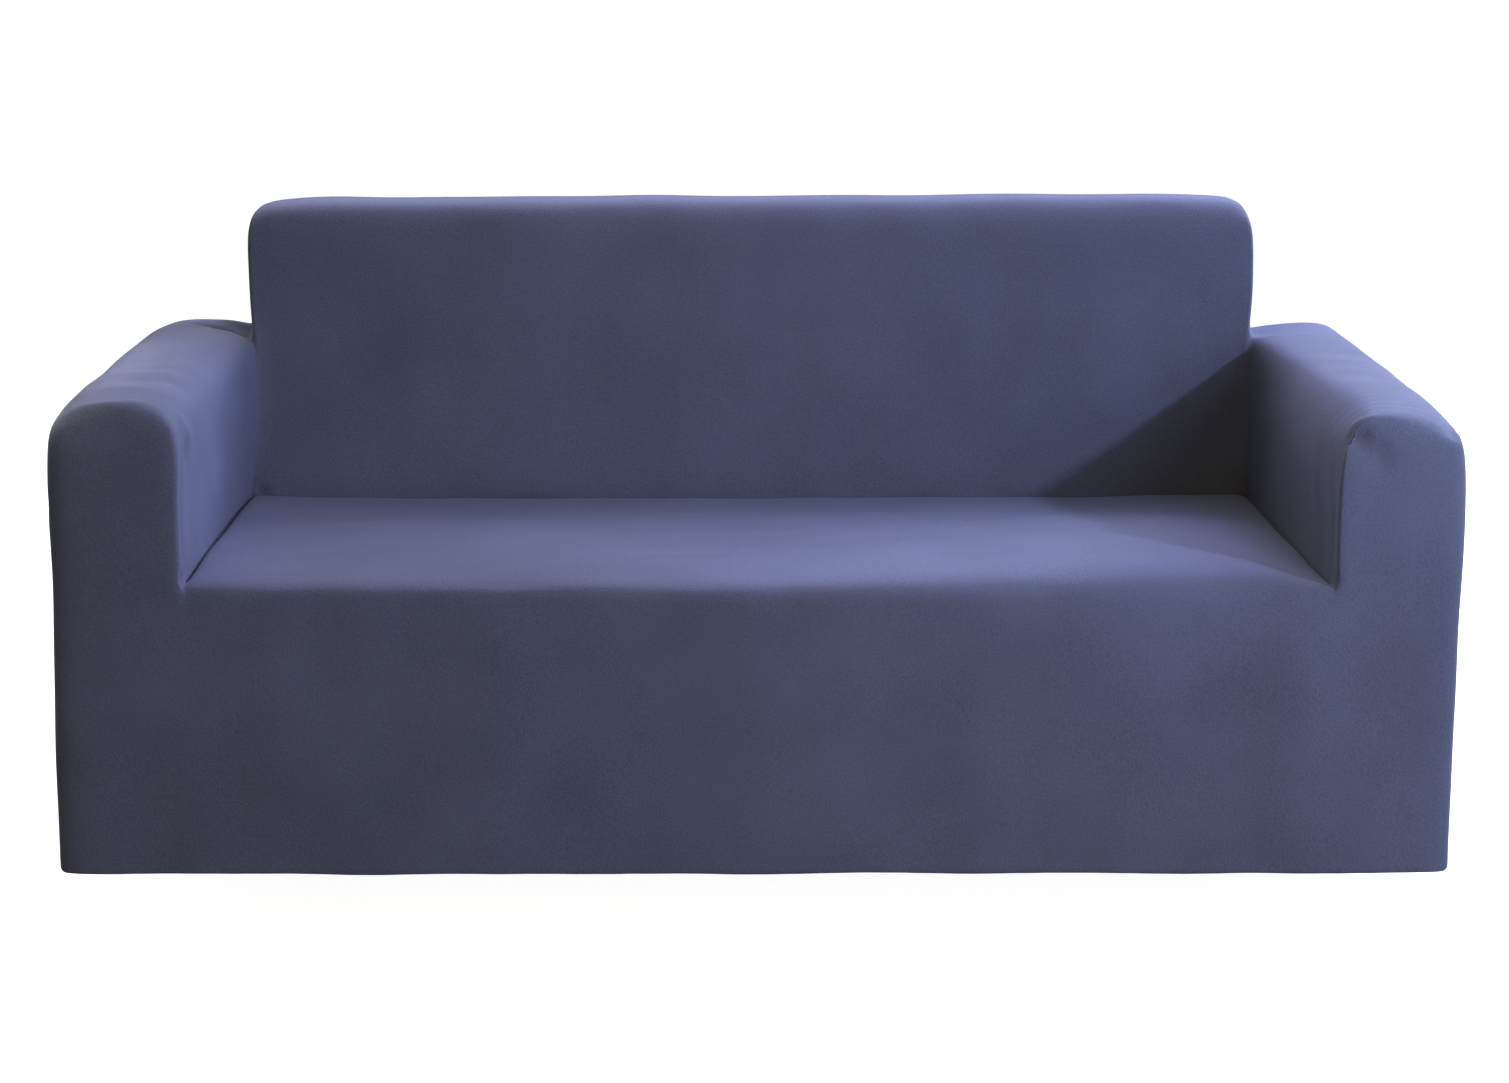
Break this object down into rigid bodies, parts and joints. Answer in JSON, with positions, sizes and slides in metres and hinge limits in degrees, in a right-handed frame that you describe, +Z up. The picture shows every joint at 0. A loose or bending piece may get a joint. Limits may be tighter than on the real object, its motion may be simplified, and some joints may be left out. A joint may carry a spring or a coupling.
{
  "type": "sofa slipcover",
  "caption": "Stretch knit slipcover for a two-seat sofa, with soft rolled edges, tucked seat creases and a turned-in hem, hollow and open below.",
  "frame": {"origin": "in the hem's plane, under the middle of the cover's box", "axes": "+Z up; the seat's front faces -Y; +X is on the right of someone who faces the sofa"},
  "size_m": [1.6536, 0.815, 0.7386],
  "materials": {
    "knit_front": "slate blue stretch knit with a brushed face, front and seat",
    "knit_arms": "slate blue stretch knit with a brushed face, arms",
    "knit_back": "slate blue stretch knit with a brushed face, back and rear"
  },
  "bodies": {
    "root": {"front_and_seat": "knit_front", "arm_left": "knit_arms", "arm_right": "knit_arms", "back": "knit_back", "rear": "knit_back"}
  },
  "joints": []
}
